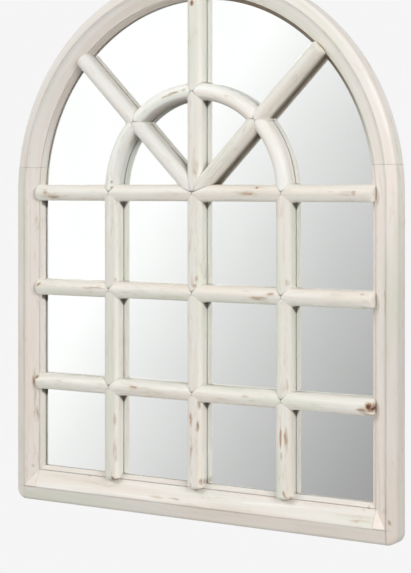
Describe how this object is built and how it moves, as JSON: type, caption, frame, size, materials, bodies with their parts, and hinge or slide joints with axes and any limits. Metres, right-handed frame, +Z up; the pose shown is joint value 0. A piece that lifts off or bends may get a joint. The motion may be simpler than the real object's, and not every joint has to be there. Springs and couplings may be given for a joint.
{
  "type": "arched window mirror",
  "caption": "Wall mirror in a moulded wooden frame with a half-round head, divided like a window by rounded glazing bars and hung from hinged rings on its back.",
  "frame": {"origin": "on the wall plane, midway between the points where two hooks carry the hanger rings (rings turned up)", "axes": "+Z up, +X to the right of someone who looks at the mirror, +Y from the mirror into the wall"},
  "size_m": [0.8, 0.0426, 0.985],
  "materials": {
    "painted_frame": "distressed whitewash on wood",
    "painted_bars": "distressed whitewash on wood",
    "mirror": "silvered flat glass",
    "bare_wood": "bare beech",
    "hardboard": "bare hardboard",
    "zinc_steel": "zinc plated",
    "felt": "pressed felt"
  },
  "bodies": {
    "framed_mirror": {"left_stile": "painted_frame", "right_stile": "painted_frame", "bottom_rail": "painted_frame", "head_left": "painted_frame", "head_right": "painted_frame", "spring_bar": "painted_bars", "middle_cross_bar": "painted_bars", "lower_cross_bar": "painted_bars", "left_upright": "painted_bars", "centre_upright": "painted_bars", "right_upright": "painted_bars", "inner_arch_left": "painted_bars", "inner_arch_right": "painted_bars", "left_spoke": "painted_bars", "right_spoke": "painted_bars", "mirror_glass": "mirror", "frame_dowels": "bare_wood", "backing_board": "hardboard", "backing_screws": "zinc_steel", "left_hanger_strap": "zinc_steel", "right_hanger_strap": "zinc_steel", "hanger_screws": "zinc_steel", "wall_bumpers": "felt"},
    "left_ring": {"left_hanger_ring": "zinc_steel"},
    "right_ring": {"right_hanger_ring": "zinc_steel"}
  },
  "joints": [
    {"name": "left_ring_swing", "type": "hinge", "parent": "framed_mirror", "child": "left_ring", "pos_m": [-0.385, -0.0028, -0.0185], "axis": [1, 0, 0], "range_deg": [0, 183]},
    {"name": "right_ring_swing", "type": "hinge", "parent": "framed_mirror", "child": "right_ring", "pos_m": [0.385, -0.0028, -0.0185], "axis": [1, 0, 0], "range_deg": [0, 183]}
  ]
}
